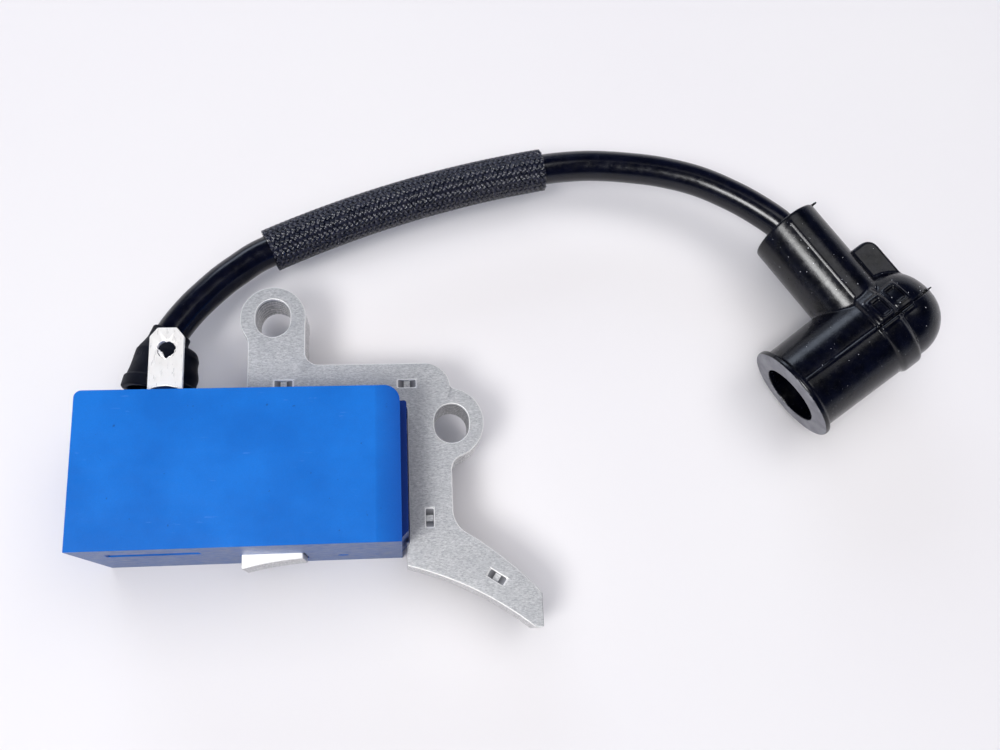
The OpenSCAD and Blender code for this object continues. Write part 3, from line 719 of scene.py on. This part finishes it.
def gland_field(x, y, z):
    """The gland in part.scad's drawing, less GLAND, with its leaning bell and neck."""
    s = x * math.sin(GLAND_LEAN) + y * math.cos(GLAND_LEAN)
    w = x * math.cos(GLAND_LEAN) - y * math.sin(GLAND_LEAN)
    r = np.sqrt(w * w + z * z)
    turn = np.arctan2(z, w)
    slack = 0.10 * np.sin(3 * turn + 0.9 * s) * np.clip((s - 1.5) / 3, 0, 1)
    folds = np.exp(-((s - 3.6) / 1.0) ** 2) + np.exp(-((s - 7.1) / 0.9) ** 2)
    slack = slack + 0.32 * folds * np.exp(-((turn - 0.1) / 0.8) ** 2)
    profile = np.interp(s, [0, 1.7, 1.95, 6.2, 7.5, 9], [5.55, 5.5, 5.20, 4.70, 3.8, 3.1])
    bell = soft_max(r - profile - slack * 0.8 + 0.05, -s, 0.3)
    bell = soft_max(bell, s - 7.7, 0.8)
    foot = NECK_FOOT - GLAND
    nx, ny = x - foot[0], y - foot[1]
    ns = nx * math.sin(NECK_LEAN) + ny * math.cos(NECK_LEAN)
    nw = nx * math.cos(NECK_LEAN) - ny * math.sin(NECK_LEAN)
    nr = np.sqrt(nw * nw + z * z)
    ragged = 0.05 * np.sin(3 * np.arctan2(z, nw) + 1)
    neck = soft_max(nr - NECK_R, ns - 3.15 - ragged, 0.2)
    neck = np.maximum(neck, -ns)
    body = soft_min(bell, neck, 1.2)
    hollow = np.maximum(r - 4.5 + 0.85 * np.clip((s - 5) / 1.1, 0, 1), s - 6.1)
    bore = np.maximum(nr - LEAD_BORE_R, -1 - ns)
    return soft_max(soft_max(body, -hollow, 0.12), -bore, 0.12)


points, quads = mesh_of_field(gland_field, (-6.2, -1.7, -6.2), (7.4, 10.6, 6.2), step=0.17)
gland = add_mesh("lead_gland_rubber", points + GLAND, quads, MATERIALS["gland_rubber"], "coil")
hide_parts("lead_gland")


# ---------------------------------------------------------------- hard parts

round_edges(nodes["case_shell"], 0.42, 3)
round_edges(nodes["stop_tab"], 0.10, 2)
for i in range(1, 8):
    round_edges(nodes[f"lamination_{i}"], 0.13 if i == 7 else 0.07, 2, 20)


TAB_HOLE = np.array([11.5, 28.1, 21.18])  # its centre, just under the blade's top face


def burr():
    """The torn, tinned lip of the hole in the stop terminal."""
    turns, sides = 72, 8
    verts = []
    for i in range(turns):
        a = 2 * math.pi * i / turns
        near = math.exp(-((a - 1.25 * math.pi) / 0.6) ** 2)
        wobble = 0.10 * math.sin(3 * a + 0.5) + 0.06 * math.sin(7 * a) + 0.05 * math.sin(11 * a)
        ring = 1.30 - 0.36 * near + wobble
        thick = 0.08 + 0.20 * near + 0.03 * math.sin(5 * a)
        for k in range(sides):
            t = 2 * math.pi * k / sides
            rr = ring + thick * math.cos(t)
            verts.append(TAB_HOLE + np.array([rr * math.cos(a), rr * math.sin(a),
                                              0.75 * thick * math.sin(t) + 0.02]))
    faces = []
    for i in range(turns):
        n = (i + 1) % turns
        for k in range(sides):
            m = (k + 1) % sides
            faces.append((i * sides + k, n * sides + k, n * sides + m, i * sides + m))
    return np.array(verts), faces


verts, faces = burr()
lip = add_mesh("stop_tab_burr", verts, faces, MATERIALS["tinned"], "coil")


# ---------------------------------------------------------------- stage and light

bpy.ops.mesh.primitive_plane_add(size=3.0, location=(0, 0, 0))
floor = bpy.context.object
floor.name = "floor"
mat, tree, shader = new_material("floor_paper")
pale = mix(tree, noise(tree, coords(tree), 0.02, 1), (0.81, 0.785, 0.79), (0.83, 0.81, 0.80))
tree.links.new(pale, shader.inputs["Base Color"])
shader.inputs["Roughness"].default_value = 0.65
shader.inputs["Specular IOR Level"].default_value = 0.25
floor.data.materials.append(mat)


def area_light(name, place, target, size, power, colour=(1, 1, 1)):
    """A rectangular light of size at place, aimed at target; metres and watts."""
    light = bpy.data.lights.new(name, "AREA")
    light.shape = "RECTANGLE"
    light.size, light.size_y = size
    light.energy = power
    light.color = colour
    obj = bpy.data.objects.new(name, light)
    scene.collection.objects.link(obj)
    obj.location = place
    way = Vector(target) - Vector(place)
    obj.rotation_euler = way.to_track_quat("-Z", "Y").to_euler()
    return obj


# the key is soft on surfaces, and the glint gives its sharper reflection alone
KEY_PLACE = (-0.244, -0.232, 0.631)
KEY_TARGET = (0.06, 0.02, 0)
area_light("key", KEY_PLACE, KEY_TARGET, (0.22, 0.22), 2.1)
glint = area_light("glint", KEY_PLACE, KEY_TARGET, (0.14, 0.14), 3.9)
glint.visible_diffuse = False
fill = area_light("fill", (0.05, 0.02, 0.95), (0.04, 0.02, 0), (1.3, 1.3), 8.7, (0.99, 0.98, 1.0))
fill.visible_glossy = False
area_light("ceiling", (0.35, 0.17, 0.86), (0.03, 0.02, 0), (0.40, 0.40), 0.8)
area_light("back", (-0.25, 0.85, 0.42), (0.04, 0.02, 0), (0.60, 0.30), 2.0, (0.76, 0.85, 1.0))

world = bpy.data.worlds.new("studio")
scene.world = world
world.use_nodes = True
tree = world.node_tree
way = tree.nodes.new("ShaderNodeTexCoord")
split = tree.nodes.new("ShaderNodeSeparateXYZ")
tree.links.new(way.outputs["Generated"], split.inputs[0])
sky = ramp(tree, split.outputs["Z"], [(0.0, (1.0, 1.02, 1.08)), (0.12, (0.66, 0.69, 0.80)),
                                      (0.30, (0.04, 0.055, 0.12)), (1.0, (0.008, 0.012, 0.035))])
tree.links.new(sky, tree.nodes["Background"].inputs["Color"])
tree.nodes["Background"].inputs["Strength"].default_value = 0.9
scene.view_settings.view_transform = "Standard"
